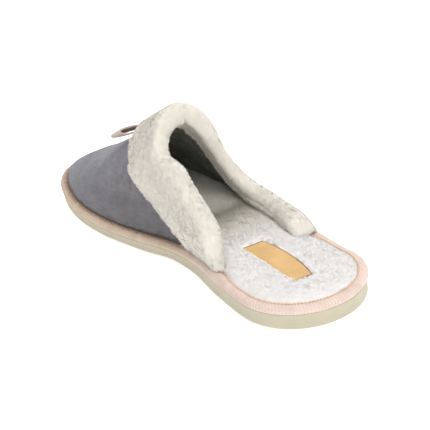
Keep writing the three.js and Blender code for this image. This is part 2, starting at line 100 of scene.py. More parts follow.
THROAT = table(
    "at along across outer_end inner_end plump fold lining",
    (0.00, 0.272, 0.00, 0.410, 0.40, 1.00, 0.80, 0.35),
    (0.10, 0.290, 0.07, 0.460, 0.46, 1.00, 0.90, 0.70),
    (0.22, 0.360, 0.11, 0.535, 0.55, 1.00, 0.95, 1.00),
    (0.34, 0.432, 0.16, 0.600, 0.59, 1.00, 1.10, 1.00),
    (0.40, 0.466, 0.19, 0.606, 0.60, 1.00, 1.20, 0.90),
    (0.45, 0.522, 0.25, 0.630, 0.60, 1.00, 0.85, 0.45),
    (0.50, 0.562, 0.45, 0.665, 0.60, 1.00, 0.40, 0.60),
    (0.56, 0.555, 0.65, 0.665, 0.59, 1.15, 0.50, 1.00),
    (0.62, 0.545, 0.76, 0.650, 0.58, 0.40, 0.70, 1.00),
    (0.69, 0.510, 0.88, 0.610, 0.56, 0.65, 0.80, 1.00),
    (0.80, 0.410, 0.94, 0.530, 0.54, 0.75, 0.90, 1.05),
    (0.91, 0.290, 0.96, 0.460, 0.52, 0.80, 1.00, 1.25),
    (1.00, 0.260, 1.00, 0.400, 0.44, 1.00, 1.00, 1.10),
)


def mix(a, b, t):
    return a + (b - a) * t


def smooth(t):
    t = np.clip(t, 0, 1)
    return t * t * (3 - 2 * t)


def through(rows, column):
    """Smooth curve through one column of a table, without overshoot between its rows."""
    x, y = rows["at"], rows[column]
    step = np.diff(y) / np.diff(x)
    before = np.concatenate([step[:1], step])
    after = np.concatenate([step, step[-1:]])
    product = before * after
    total = np.where(product > 0, before + after, 1)
    slope = np.where(product > 0, 2 * product / total, 0)

    def at(place_):
        p = np.clip(place_, x[0], x[-1])
        i = np.clip(np.searchsorted(x, p, side="left") - 1, 0, len(x) - 2)
        span = x[i + 1] - x[i]
        t = (p - x[i]) / span
        bend = t * (1 - t) * span
        return mix(y[i], y[i + 1], t * t * (3 - 2 * t)) + bend * (
            slope[i] * (1 - t) - slope[i + 1] * t
        )

    return at


def curves(rows):
    return {name: through(rows, name) for name in rows if name != "at"}


FOOT, FORM, EDGE = curves(PLAN), curves(SECTIONS), curves(THROAT)


def round_end(d):
    return np.where(d >= 1, 1, np.sqrt(np.clip(1 - (1 - d) ** 2, 0, None)))


def share(y):
    return y / LENGTH + 0.5


def place(s):
    return (s - 0.5) * LENGTH


def centre(y):
    return FOOT["swing"](share(y)) * BALL_WIDTH


def half(y, inset):
    """Half width of the plan, inset from its edge."""
    full = mix(HEEL_WIDTH, BALL_WIDTH, FOOT["growth"](share(y))) / 2 - inset
    to_toe = (LENGTH / 2 - inset - y) / (TOE_ROUND - inset)
    to_heel = (LENGTH / 2 - inset + y) / (HEEL_ROUND - inset)
    return full * round_end(to_toe) * round_end(to_heel)


def spring_at(y):
    return TOE_SPRING * np.clip((share(y) - SPRING_START) / (1 - SPRING_START), 0, None) ** 2


def to_front(y):
    return smooth((share(y) - THIN_FROM) / (THIN_TO - THIN_FROM))


def sole_top(y):
    return spring_at(y) + mix(HEEL_SOLE, FRONT_SOLE, to_front(y))


def seam(y):
    return sole_top(y) + mix(HEEL_BAND, FRONT_BAND, to_front(y))


def floor_at(y):
    s = share(y)
    arch = smooth((s - ARCH_START) / ARCH_EASE) * smooth((ARCH_END - s) / ARCH_EASE)
    return spring_at(y) + ARCH_LIFT * arch


def upper(y, across, out):
    """Points of the upper at places along the length and across the section, and out."""
    y, across, out = np.broadcast_arrays(*(np.asarray(v, float) for v in (y, across, out)))
    s = share(y)
    inset = RIM_INSET - out
    tip = LENGTH / 2 - inset
    width = half(y, inset)
    base = seam(y) + SEAT
    rise = np.clip(FORM["crest"](s) * INSTEP_RISE + out, 0, None)
    crest_x = centre(y) - FORM["lean"](s) * BALL_WIDTH
    crest_z = base + rise * round_end((tip - y) / (DOME_ROUND + out))
    inner = across < 0.5
    foot_x = centre(y) + np.where(inner, -width, width)
    up = np.where(inner, FORM["inner_up"](s), FORM["outer_up"](s))
    over = np.where(inner, FORM["inner_over"](s), FORM["outer_over"](s))
    inwards = np.where(inner, 0, FORM["outer_in"](s))
    t = 2 * np.where(inner, across, 1 - across)
    a, b, c, d = (1 - t) ** 3, 3 * t * (1 - t) ** 2, 3 * t * t * (1 - t), t ** 3
    x = a * foot_x + b * mix(foot_x, crest_x, inwards) + c * mix(crest_x, foot_x, over) + d * crest_x
    z = a * base + b * mix(base, crest_z, up) + (c + d) * crest_z
    return np.stack([x, y, z], -1)


def around(t, w, out):
    """Points of the upper between the toe tip (t 0) and the throat edge (t 1), round it by w."""
    t, w, out = np.broadcast_arrays(*(np.asarray(v, float) for v in (t, w, out)))
    tip = LENGTH / 2 - RIM_INSET + out
    y = mix(tip, place(EDGE["along"](w)), t)
    return upper(y, np.clip(mix(w, EDGE["across"](w), t), 0, 1), out)


def unit(v):
    return v / np.maximum(np.linalg.norm(v, axis=-1, keepdims=True), 1e-9)


def beyond(w, past, out):
    """Points beyond the throat edge, square to it."""
    step = 0.01
    here = around(1, w, 0)
    along = unit(around(1, np.minimum(1, w + step), 0) - around(1, np.maximum(0, w - step), 0))
    facing = around(1, w, 1) - here
    facing = unit(facing - along * np.sum(facing * along, -1, keepdims=True))
    on = np.cross(along, facing)
    point = around(1, w, out) + on * np.asarray(past)[..., None]
    return point


def to_row(points):
    """Shifts the plan so that the outline's middle is at x = 0, and turns millimetres to metres."""
    return (points - [SHIFT, 0, 0]) * MM


# Noise on a lattice, the same each run
def noise(points, cell, seed=0):
    q = points / cell + 1000.0
    base = np.floor(q).astype(np.int64)
    f = q - base
    f = f * f * (3 - 2 * f)
    total = np.zeros(len(points))
    for corner in range(8):
        d = np.array([corner & 1, corner >> 1 & 1, corner >> 2 & 1])
        n = (base + d) @ np.array([73856093, 19349663, 83492791]) + seed * 2654435761
        n = ((n ^ (n >> 13)) * 1274126177) & 0x7FFFFFFF
        n = ((n ^ (n >> 11)) * 668265263) & 0x7FFFFFFF
        total += (n / 0x3FFFFFFF - 1) * np.prod(np.where(d, f, 1 - f), axis=1)
    return total


def rumple(points, waves):
    """Sum of noise waves, each a height, a cell size and a seed."""
    return sum(height * noise(points, cell, seed) for height, cell, seed in waves)


def quads(rows, columns, close_rows=False, close_columns=False):
    """Faces of a grid of rows x columns points, each row's points in turn."""
    r = np.arange(rows if close_rows else rows - 1)
    c = np.arange(columns if close_columns else columns - 1)
    r, c = np.meshgrid(r, c, indexing="ij")
    r2, c2 = (r + 1) % rows, (c + 1) % columns
    corners = [r * columns + c, r * columns + c2, r2 * columns + c2, r2 * columns + c]
    return np.stack(corners, -1).reshape(-1, 4)


def strip(a, b):
    """Faces between two rows of indices."""
    return [[a[i], a[i + 1], b[i + 1], b[i]] for i in range(len(a) - 1)]


def halves(start, count):
    """Indices up the two sides of a ring, both from the heel to the toe."""
    n = count // 2
    return start + np.arange(n + 1), start + np.concatenate([[0], np.arange(count - 1, n - 1, -1)])


def linked(name, data):
    piece = bpy.data.objects.new(name, data)
    bpy.context.scene.collection.objects.link(piece)
    return piece


def two_sided(long_steps, wide_steps):
    """Faces of a thin sheet: its top grid, the grid below turned over, and the rim between."""
    columns = wide_steps + 1
    n = (long_steps + 1) * columns
    grid = quads(long_steps + 1, columns)
    faces = [list(f) for f in grid] + [[n + k for k in f[::-1]] for f in grid]
    loop = np.concatenate([
        np.arange(columns),
        np.arange(1, long_steps + 1) * columns + wide_steps,
        long_steps * columns + np.arange(wide_steps - 1, -1, -1),
        np.arange(long_steps - 1, -1, -1) * columns,
    ])
    return faces + strip(loop, n + loop)


def build(name, points, faces, materials, slots=None, uv=None, fix=True):
    """Mesh object from points in millimetres of the plan frame."""
    mesh = bpy.data.meshes.new(name)
    mesh.from_pydata(to_row(np.asarray(points, float)).tolist(), [], [list(map(int, f)) for f in faces])
    for material in materials:
        mesh.materials.append(material)
    if slots is not None:
        mesh.polygons.foreach_set("material_index", np.asarray(slots, np.int32))
    if uv is not None:
        layer = mesh.uv_layers.new(name="UVMap")
        loops = np.empty(len(mesh.loops), np.int32)
        mesh.loops.foreach_get("vertex_index", loops)
        layer.data.foreach_set("uv", np.asarray(uv, np.float32)[loops].ravel())
    mesh.polygons.foreach_set("use_smooth", np.ones(len(mesh.polygons), bool))
    mesh.update()
    if fix:
        work = bmesh.new()
        work.from_mesh(mesh)
        bmesh.ops.remove_doubles(work, verts=work.verts, dist=1e-6)
        bmesh.ops.recalc_face_normals(work, faces=work.faces)
        work.to_mesh(mesh)
        work.free()
    return linked(name, mesh)


def place_piece(piece, slot, *nodes):
    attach(piece, "root")
    if nodes:
        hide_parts(*nodes)


# Plan ring at an inset: up the inner side from the heel, round the toe and back
def ring(inset, height, count):
    inset_at = inset if callable(inset) else lambda y: np.full_like(y, inset)
    n = count // 2
    turn = np.arange(2 * n) * math.pi / n
    at_toe, at_heel = (inset_at(np.array([end])) for end in (LENGTH / 2.0, -LENGTH / 2.0))
    nose = np.where(np.cos(turn) < 0, at_toe, at_heel)
    y = -(LENGTH / 2 - nose) * np.cos(turn)
    side = np.where(np.arange(2 * n) % n == 0, 0, -np.sign(np.sin(turn)))
    x = centre(y) + side * half(y, inset_at(y))
    return np.stack([x, y, height(y)], -1)


def shod(y):
    """0 at the open heel and 1 where the upper stands on the rim."""
    return smooth((share(y) - SHOD_FROM) / (SHOD_TO - SHOD_FROM))


def rim_inside(extra):
    opened, closed = RIM_INSET + SEAT, RIM_INSET + WALL + SEAT
    return lambda y: mix(opened, closed, shod(y)) + extra


# The band's widest ring gives the outline's middle
BAND_BULGE = 0.7
outline = ring(-BAND_BULGE, seam, 60)
SHIFT = (outline[:, 0].min() + outline[:, 0].max()) / 2


# Materials
def node_material(name, base, roughness, sheen=0.0, sheen_tint=(1, 1, 1)):
    material = bpy.data.materials.new(name)
    material.use_nodes = True
    shader = material.node_tree.nodes["Principled BSDF"]
    shader.inputs["Base Color"].default_value = (*base, 1)
    shader.inputs["Roughness"].default_value = roughness
    shader.inputs["Sheen Weight"].default_value = sheen
    shader.inputs["Sheen Roughness"].default_value = 0.5
    shader.inputs["Sheen Tint"].default_value = (*sheen_tint, 1)
    return material, material.node_tree, shader


def add(tree, kind, **values):
    node = tree.nodes.new(kind)
    for key, value in values.items():
        if key in node.inputs:
            node.inputs[key].default_value = value
        else:
            setattr(node, key, value)
    return node


def coordinates(tree, kind="Object", scale=(1, 1, 1), turn=(0, 0, 0)):
    source = add(tree, "ShaderNodeTexCoord")
    mapping = add(tree, "ShaderNodeMapping")
    mapping.inputs["Scale"].default_value = scale
    mapping.inputs["Rotation"].default_value = turn
    tree.links.new(source.outputs[kind], mapping.inputs["Vector"])
    return mapping.outputs["Vector"]


def noise_node(tree, vector, scale, detail=3.0, roughness=0.55):
    node = add(tree, "ShaderNodeTexNoise")
    node.inputs["Scale"].default_value = scale
    node.inputs["Detail"].default_value = detail
    node.inputs["Roughness"].default_value = roughness
    tree.links.new(vector, node.inputs["Vector"])
    return node.outputs["Fac"]


def ramp(tree, fac, stops):
    node = add(tree, "ShaderNodeValToRGB")
    elements = node.color_ramp.elements
    while len(elements) < len(stops):
        elements.new(0.5)
    for element, (position, colour) in zip(elements, stops):
        element.position = position
        element.color = (*colour, 1)
    tree.links.new(fac, node.inputs["Fac"])
    return node.outputs["Color"]


def blend_colour(tree, kind, factor, a, b):
    node = add(tree, "ShaderNodeMix", data_type="RGBA", blend_type=kind)
    node.inputs["Factor"].default_value = factor
    tree.links.new(a, node.inputs["A"])
    tree.links.new(b, node.inputs["B"])
    return node.outputs["Result"]


def times(tree, a, b):
    return blend_colour(tree, "MULTIPLY", 1.0, a, b)


def ragged_edge(tree, here, run, scale, detail, size):
    """The second UV coordinate with noise added, for an edge that isn't straight."""
    split = add(tree, "ShaderNodeSeparateXYZ")
    tree.links.new(run, split.inputs["Vector"])
    ragged = add(tree, "ShaderNodeMath", operation="MULTIPLY_ADD")
    ragged.inputs[1].default_value = size
    tree.links.new(noise_node(tree, here, scale, detail, 0.7), ragged.inputs[0])
    tree.links.new(split.outputs["Y"], ragged.inputs[2])
    return ragged.outputs[0]


def bump(tree, shader, height, distance, strength=1.0):
    node = add(tree, "ShaderNodeBump")
    node.inputs["Strength"].default_value = strength
    node.inputs["Distance"].default_value = distance
    tree.links.new(height, node.inputs["Height"])
    if shader.inputs["Normal"].is_linked:
        tree.links.new(shader.inputs["Normal"].links[0].from_socket, node.inputs["Normal"])
    tree.links.new(node.outputs["Normal"], shader.inputs["Normal"])


def along_axis(tree, here, axis, start, end):
    """Share between two places along one of the object's own axes."""
    split = add(tree, "ShaderNodeSeparateXYZ")
    tree.links.new(here, split.inputs["Vector"])
    part = add(tree, "ShaderNodeMapRange", interpolation_type="SMOOTHSTEP")
    part.inputs["From Min"].default_value = start
    part.inputs["From Max"].default_value = end
    tree.links.new(split.outputs[axis], part.inputs["Value"])
    return part.outputs["Result"]


def suede_material():
    material, tree, shader = node_material("grey_suede", (0.2, 0.2, 0.215), 0.92, 0.25, (0.8, 0.8, 0.9))
    here = coordinates(tree)
    patches = ramp(
        tree, noise_node(tree, here, 75, 4, 0.6),
        [(0.3, (0.165, 0.162, 0.171)), (0.55, (0.19, 0.187, 0.199)), (0.75, (0.225, 0.222, 0.238))],
    )
    strokes = coordinates(tree, scale=(1, 0.35, 1), turn=(0, 0, 0.5))
    nap = ramp(tree, noise_node(tree, strokes, 420, 4, 0.7),
               [(0.3, (0.72, 0.72, 0.72)), (0.7, (1.12, 1.12, 1.12))])
    colour = blend_colour(tree, "MULTIPLY", 0.8, patches, nap)
    # Painted light and shade: by height, the suede is darker low down and lighter towards the top
    painted_shading = ramp(tree, along_axis(tree, here, "Z", 0.014, 0.055),
                [(0.0, (0.76, 0.75, 0.75)), (1.0, (1.12, 1.12, 1.12))])
    brushed = ramp(tree, along_axis(tree, here, "Y", 0.03, 0.08),
                   [(0.0, (0.84, 0.82, 0.81)), (1.0, (1.02, 1.03, 1.05))])
    colour = times(tree, times(tree, colour, painted_shading), brushed)
    # Painted shade along the seam with the band, with brown specks of dirt: the lowest part of the suede
    # is darkened, with a ragged top
    dark_edge_and_shade = ramp(tree, ragged_edge(tree, here, coordinates(tree, "UV"), 700, 3, 0.9),
               [(0.50, (0.36, 0.29, 0.23)), (0.76, (1, 1, 1))])
    tree.links.new(times(tree, colour, dark_edge_and_shade), shader.inputs["Base Color"])
    bump(tree, shader, noise_node(tree, here, 900, 3), 0.0003, 0.6)
    bump(tree, shader, noise_node(tree, here, 160, 3), 0.0006, 0.5)
    return material


def plush_material(name="white_plush", base=(0.90, 0.865, 0.79), low=(0.83, 0.79, 0.71)):
    material, tree, shader = node_material(name, base, 0.95, 0.15)
    here = coordinates(tree)
    clumps = ramp(tree, noise_node(tree, here, 260, 4, 0.65), [(0.3, low), (0.55, base)])
    tree.links.new(clumps, shader.inputs["Base Color"])
    bump(tree, shader, noise_node(tree, here, 900, 3, 0.6), 0.00015, 0.6)
    return material


def mottled(name, base, roughness, tint, low, high, grain=None, sheen=0.0, stretch=(1, 1, 1),
            spread=(0.3, 0.7)):
    """Material of two tones; tint is noise scale and detail, grain adds bump distance and strength."""
    material, tree, shader = node_material(name, base, roughness, sheen)
    here = coordinates(tree, scale=stretch)
    shade = ramp(tree, noise_node(tree, here, *tint), [(spread[0], low), (spread[1], high)])
    tree.links.new(shade, shader.inputs["Base Color"])
    if grain:
        scale, detail, distance, strength = grain
        bump(tree, shader, noise_node(tree, here, scale, detail), distance, strength)
    return material


def band_material():
    material, tree, shader = node_material("beige_band", (0.68, 0.52, 0.43), 0.8, 0.1)
    here = coordinates(tree)
    tone = ramp(tree, along_axis(tree, here, "Y", -0.06, 0.0),
                [(0.0, (0.68, 0.55, 0.485)), (1.0, (0.53, 0.41, 0.32))])
    shade = ramp(tree, noise_node(tree, here, 130, 4, 0.6), [(0.3, (0.86, 0.84, 0.82)), (0.6, (1, 1, 1))])
    run = coordinates(tree, "UV")
    # Painted shade in the gathers: stripes darken the valleys between the ribs, fading out towards the
    # front
    ribs = add(tree, "ShaderNodeTexWave", wave_type="BANDS", bands_direction="X")
    ribs.inputs["Scale"].default_value = 2 * math.pi / 20 / (GATHER_PITCH * MM)
    tree.links.new(run, ribs.inputs["Vector"])
    rib_shade = ramp(tree, ribs.outputs["Fac"], [(0.05, (0.87, 0.83, 0.80)), (0.5, (1, 1, 1))])
    smooth_part = ramp(tree, along_axis(tree, here, "Y", -0.075, -0.03),
                       [(0.0, (0, 0, 0)), (1.0, (1, 1, 1))])
    rib_shade = blend_colour(tree, "SCREEN", 1.0, rib_shade, smooth_part)
    colour = times(tree, times(tree, tone, shade), rib_shade)
    # Painted shade with brown specks of dirt along the top edge of the band where it meets the upper, on
    # the forefoot only
    seam_shade_and_dirt = ramp(tree, ragged_edge(tree, here, run, 1100, 2, 0.4),
                [(0.58, (1, 1, 1)), (0.68, (0.5, 0.40, 0.31))])
    no_seam_mark = ramp(tree, along_axis(tree, here, "Y", -0.035, 0.0), [(0.0, (1, 1, 1)), (1.0, (0, 0, 0))])
    seam_shade_and_dirt = blend_colour(tree, "SCREEN", 1.0, seam_shade_and_dirt, no_seam_mark)
    tree.links.new(times(tree, colour, seam_shade_and_dirt), shader.inputs["Base Color"])
    bump(tree, shader, noise_node(tree, here, 700, 3), 0.0002, 0.5)
    return material


def insole_material():
    material = plush_material("insole_plush", (0.91, 0.885, 0.87), (0.87, 0.845, 0.825))
    tree = material.node_tree
    shader = tree.nodes["Principled BSDF"]
    here = coordinates(tree)
    # Painted shade inside the shoe: the insole darkens from the label towards the toe, under the upper,
    # and turns light again beyond
    painted_shading = ramp(tree, along_axis(tree, here, "Y", -0.06, 0.025),
                [(0.0, (1, 1, 1)), (0.4, (0.76, 0.74, 0.67)),
                 (0.75, (0.37, 0.365, 0.305)), (1.0, (0.98, 0.99, 0.9))])
    plain = shader.inputs["Base Color"].links[0].from_socket
    tree.links.new(times(tree, plain, painted_shading), shader.inputs["Base Color"])
    return material


SUEDE, PLUSH, BAND, FOOTBED = suede_material(), plush_material(), band_material(), insole_material()
LINING = mottled(
    "dark_lining", (0.05, 0.055, 0.045), 0.95, (200, 3), (0.11, 0.115, 0.093), (0.20, 0.208, 0.17),
    grain=(500, 3, 0.0006, 0.6),
)
# Dark brown of the label's edge: a burnt edge together with painted shade of its thickness
PATCH_DARK_EDGE_AND_SHADE = node_material("label_dark_edge_and_shade", (0.20, 0.095, 0.04), 0.7)[0]
RUBBER = mottled(
    "cream_rubber", (0.62, 0.55, 0.40), 0.55, (60, 3), (0.435, 0.40, 0.295), (0.49, 0.45, 0.335),
    grain=(1200, 2, 0.0001, 0.4),
)
PATCH = mottled(
    "tan_patch", (0.70, 0.42, 0.17), 0.5, (90, 4), (0.56, 0.34, 0.125), (0.67, 0.42, 0.165),
    grain=(900, 3, 0.0001, 0.4),
)
RIBBON = mottled(
    "bow_ribbon", (0.5, 0.38, 0.33), 0.6, (500, 3), (0.42, 0.31, 0.27), (0.56, 0.44, 0.39),
    grain=(900, 3, 0.0001, 0.5), sheen=0.2, stretch=(1, 0.2, 1),
)
THREAD = mottled(
    "tan_thread", (0.72, 0.42, 0.22), 0.7, (1500, 2), (0.64, 0.38, 0.21), (0.82, 0.55, 0.35),
    sheen=0.1, spread=(0.35, 0.65),
)


TUFT_WIDTH, TUFT_LEAN, TUFT_ROOT = 0.45, 2.0, 0.25
TUFT_DOWN = np.array([0, -0.5, -1.0])
SWIRL, SWIRL_CELL, CLUMP_CELL, NUB_CELL = 0.05, 9, 1.3, 2.4


def triples(items, key, kind=float):
    values = np.empty(len(items) * 3, kind)
    items.foreach_get(key, values)
    return values.reshape(-1, 3)


def flat_to(v, up):
    """The part of v that lies along the surface."""
    return v - up * np.sum(v * up, 1, keepdims=True)


# Pile: short tapered tufts scattered over a mesh's faces, leaning along it
def pile(name, source, count, length, material, keep, seed, clump, nub):
    mesh = source.data
    mesh.calc_loop_triangles()
    tri = triples(mesh.loop_triangles, "vertices", np.int32)
    co = triples(mesh.vertices, "co")
    normal = triples(mesh.vertices, "normal")
    tri = tri[keep(co[tri].mean(1), normal[tri].mean(1))]
    a, b, c = co[tri[:, 0]], co[tri[:, 1]], co[tri[:, 2]]
    area = np.linalg.norm(np.cross(b - a, c - a), axis=1)
    random = np.random.default_rng(seed)
    pick = random.choice(len(tri), count, p=area / area.sum())
    u, v = random.random(count), random.random(count)
    flip = u + v > 1
    u[flip], v[flip] = 1 - u[flip], 1 - v[flip]
    weights = np.stack([1 - u - v, u, v], 1)
    base = np.einsum("ij,ijk->ik", weights, co[tri[pick]])
    up = unit(np.einsum("ij,ijk->ik", weights, normal[tri[pick]]))
    where = base / MM
    swirl = np.stack([
        SWIRL * noise(where, SWIRL_CELL, seed + k) + clump * noise(where, CLUMP_CELL, seed + 3 + k)
        for k in range(3)
    ], 1)
    side = unit(np.cross(up, random.normal(size=(count, 3))))
    drift = flat_to(swirl, up)
    fall = unit(0.8 * np.cross(side, up) + drift + 0.3 * flat_to(TUFT_DOWN, up))
    uneven = (0.65 + 0.6 * random.random(count)) * (1 + nub * noise(where, NUB_CELL, seed + 8))
    reach = (length * uneven * MM)[:, None]
    tip = base + reach * unit(up + TUFT_LEAN * fall)
    half_width = (TUFT_WIDTH * MM / 2 * (0.7 + 0.6 * random.random(count)))[:, None]
    across = unit(np.cross(fall, up))
    root = base - up * TUFT_ROOT * MM
    points = np.stack([root - across * half_width, root + across * half_width, tip], 1).reshape(-1, 3)
    tuft = bpy.data.meshes.new(name)
    tuft.vertices.add(3 * count)
    tuft.vertices.foreach_set("co", points.ravel())
    tuft.loops.add(3 * count)
    tuft.loops.foreach_set("vertex_index", np.arange(3 * count, dtype=np.int32))
    tuft.polygons.add(count)
    tuft.polygons.foreach_set("loop_start", np.arange(0, 3 * count, 3, dtype=np.int32))
    tuft.polygons.foreach_set("use_smooth", np.ones(count, bool))
    tuft.update(calc_edges=True)
    soft = np.repeat(unit(up + 0.5 * drift + 0.14 * random.normal(size=(count, 3))), 3, axis=0)
    tuft.normals_split_custom_set_from_vertices(soft.tolist())
    tuft.materials.append(material)
    return linked(name, tuft)


def vertex_normals(points, faces):
    a, b, c, d = (points[faces[:, k]] for k in range(4))
    n = np.cross(c - a, d - b)
    total = np.zeros_like(points)
    for k in range(4):
        np.add.at(total, faces[:, k], n)
    return unit(total)


# Rows of tread bars under the heel, the ball and the toe: first place, bars, share of the ball width
TREADS = [(0.070, 5, 0.47), (0.545, 3, 0.7), (0.677, 2, 0.7), (0.765, 2, 0.64), (0.853, 2, 0.45)]
BOX_FACES = ((0, 1, 3, 2), (4, 6, 7, 5), (0, 4, 5, 1), (2, 3, 7, 6), (0, 2, 6, 4), (1, 5, 7, 3))


# Outsole: side with faint mould lines, standing on its tread bars
def outsole():
    count = 240

    def base(y):
        return floor_at(y) + BAR_HEIGHT

    rows = [
        (SOLE_EDGE, base),
        (SOLE_EDGE * 0.55, lambda y: base(y) + 0.15),
        (SOLE_EDGE * 0.2, lambda y: base(y) + 0.55),
        (0.0, lambda y: base(y) + SOLE_EDGE),
    ]
    for k in range(1, 10):
        part = k / 10
        dip = 0.25 * math.sin(math.pi * part) + (0.16 if k % 3 == 0 else 0)
        rows.append((dip, lambda y, part=part: mix(base(y) + SOLE_EDGE, sole_top(y) - 0.9, part)))
    for inset, drop in ((0.05, 0.3), (0.3, 0.05), (3, 0.05)):
        rows.append((inset, lambda y, drop=drop: sole_top(y) - drop))
    rings = [ring(inset, height, count) for inset, height in rows]
    points = np.concatenate(rings)
    faces = [list(f) for f in quads(len(rings), count, close_columns=True)]
    for start in (0, (len(rings) - 1) * count):
        faces += strip(*halves(start, count))
    piece = build("outsole_shell", points, faces, [RUBBER])
    bar_points, bar_faces = [], []
    for start, bars, across in TREADS:
        width = across * BALL_WIDTH
        x = float(centre(np.array(place(start) + (bars - 1) * BAR_PITCH / 2)))
        for k in range(bars):
            y = place(start) + k * BAR_PITCH
            low, high = float(floor_at(np.array(y - 1.0))), float(floor_at(np.array(y + 1.0)))
            slope = (high - low) / 2
            first = len(bar_points)
            for dz in (0, 2 * BAR_HEIGHT):
                for dy in (-BAR_LENGTH / 2, BAR_LENGTH / 2):
                    for dx in (-width / 2, width / 2):
                        bar_points.append((x + dx, y + dy, float(floor_at(np.array(y))) + dz + slope * dy))
            bar_faces += [[first + q for q in f] for f in BOX_FACES]
    bars = build("tread_bars", bar_points, bar_faces, [RUBBER])
    joined = piece.modifiers.new("tread", "BOOLEAN")
    joined.operation, joined.solver, joined.object = "UNION", "EXACT", bars
    apply(piece)
    bpy.data.objects.remove(bars, do_unlink=True)
    crisp(piece)
    place_piece(piece, "cream_rubber", "outsole")


def apply(piece):
    """Bakes a piece's modifiers into its mesh."""
    depsgraph = bpy.context.evaluated_depsgraph_get()
    baked = bpy.data.meshes.new_from_object(piece.evaluated_get(depsgraph))
    piece.modifiers.clear()
    old = piece.data
    piece.data = baked
    bpy.data.meshes.remove(old)


def crisp(piece, angle=40):
    piece.data.set_sharp_from_angle(angle=math.radians(angle))


# Side of the band, from its foot to the rim's inner edge
BAND_SIDE = table(
    "at inset up",
    (0.00, 0.25, 0.00), (0.12, -0.1, 0.10), (0.45, -0.7, 0.50),
    (0.70, 0.4, 0.83), (0.85, 1.8, 0.96), (1.00, 3.6, 1.00),
)


# Band round the platform, with a rounded rim and gathers that are stronger at the heel
def band():
    count, rows = 1200, 22
    profile = curves(BAND_SIDE)
    rings = []
    for k in range(rows + 1):
        part = k / rows
        inset, up = float(profile["inset"](part)), float(profile["up"](part))
        rings.append(ring(inset, lambda y, up=up: mix(sole_top(y), seam(y), up), count))
    rings.append(ring(rim_inside(0), lambda y: seam(y) - RIM_SINK * shod(y), count))
    rings.append(ring(rim_inside(0), lambda y: seam(y) - INSOLE_RECESS, count))
    points = np.concatenate(rings)
    side = rings[8]
    run = np.concatenate([[0], np.cumsum(np.linalg.norm(np.diff(side, axis=0), axis=1))])
    faces = quads(len(rings), count, close_columns=True)
    outward = vertex_normals(points, faces)
    middle = points[:, :2] - np.stack([centre(points[:, 1]), points[:, 1] * 0.7], 1)
    if np.mean(np.sum(outward[:, :2] * middle, 1)) < 0:
        outward = -outward
    part = np.repeat(np.minimum(np.arange(len(rings)) / rows, 1.0), count)
    runs = np.tile(run, len(rings))
    s = share(points[:, 1])
    heel = smooth((0.34 - s) / 0.2)
    gathers = runs / GATHER_PITCH + 0.3 * noise(points, 11, 3) + 0.13 * part
    gather = np.sin(2 * np.pi * gathers)
    uv = np.stack([gathers * GATHER_PITCH * MM, part / 2], 1)
    swell = np.clip(np.sin(np.pi * np.clip((part - 0.1) / 0.85, 0, 1)), 0, 1)
    shape = gather * swell * (0.10 + 0.17 * heel) + 0.18 * swell * noise(points, 5, 4)
    shape += 0.25 * noise(points, 2.2, 6) * swell * smooth((s - 0.45) / 0.2)
    inner = np.arange(len(points)) >= (rows + 1) * count
    shape[inner] = 0
    points = points + outward * shape[:, None]
    piece = build("platform_band", points, faces, [BAND], uv=uv)
    place_piece(piece, "beige_band", "midsole")


# Stitches round the open heel, each a short capsule lying along the seam
def stitches():
    count = 2400
    line = ring(rim_inside(-0.55), lambda y: seam(y) + 0.15, count)
    line = np.vstack([line, line[:1]])
    run = np.concatenate([[0], np.cumsum(np.linalg.norm(np.diff(line, axis=0), axis=1))])
    points, faces = [], []
    for start in np.arange(0, run[-1] - STITCH_PITCH, STITCH_PITCH):
        ends = [
            np.array([np.interp(start + d, run, line[:, i]) for i in range(3)])
            for d in (0, STITCH_LENGTH)
        ]
        if share(ends[0][1]) > STITCHED_TO:
            continue
        along = unit(ends[1] - ends[0])
        side = unit(np.cross(along, [0, 0, 1]))
        up = np.cross(side, along)
        low = len(points)
        sides = 6
        for part, size in ((0.0, 0.25), (0.2, 0.9), (0.5, 1.0), (0.8, 0.9), (1.0, 0.25)):
            core = mix(ends[0], ends[1], part) + up * STITCH_RISE * math.sin(math.pi * part)
            for q in range(sides):
                turn = 2 * math.pi * q / sides
                facing = side * math.cos(turn) + up * 0.8 * math.sin(turn)
                points.append(core + STITCH_THICK * size * facing)
        for r in range(4):
            here, above = low + r * sides, low + (r + 1) * sides
            for q in range(sides):
                p = (q + 1) % sides
                faces.append([here + q, here + p, above + p, above + q])
        faces.append([low + q for q in range(sides)][::-1])
        faces.append([low + 4 * sides + q for q in range(sides)])
    piece = build("seam_stitches", points, faces, [THREAD])
    place_piece(piece, "tan_patch")


# Creases pressed into the suede: from one place in plan to another, depth and half width
CREASES = table(
    "x0 y0 x1 y1 deep wide",
    (-36.2, 57, -34.1, 43, 0.8, 1.0),
    (-34.3, 43, -29.8, 21, 1.3, 1.2),
    (-32.8, 41, -27.5, 33, 0.6, 1.4),
    (-30.4, 28, -24.0, 22, 0.8, 1.6),
    (-30, 72, -8, 60, 0.2, 3.5),
    (-24, 88, -10, 96, 0.25, 4.0),
    (8, 66, 26, 52, 0.5, 4.0),
    (14, 88, 30, 74, 0.35, 4.0),
)


def crease_depth(points):
    """Depth of the creases, each a valley between two low banks."""
    depth = np.zeros(len(points))
    for x0, y0, x1, y1, deep, wide in zip(*CREASES.values()):
        a, b = np.array([x0 + SHIFT, y0]), np.array([x1 + SHIFT, y1])
        along = (points[:, :2] - a) @ (b - a) / np.dot(b - a, b - a)
        near = a + np.clip(along, 0, 1)[:, None] * (b - a)
        away = np.linalg.norm(points[:, :2] - near, axis=1)
        taper = np.sin(np.pi * np.clip(along * 0.9 + 0.05, 0, 1)).clip(0, 1)
        valley = np.exp(-(away / wide) ** 2)
        bank = np.exp(-((away - 2 * wide) / wide) ** 2)
        depth += deep * (valley - 0.45 * bank) * taper
    return depth


# Depth by which the suede is pressed in under the cuff
UNDER_CUFF = 0.7


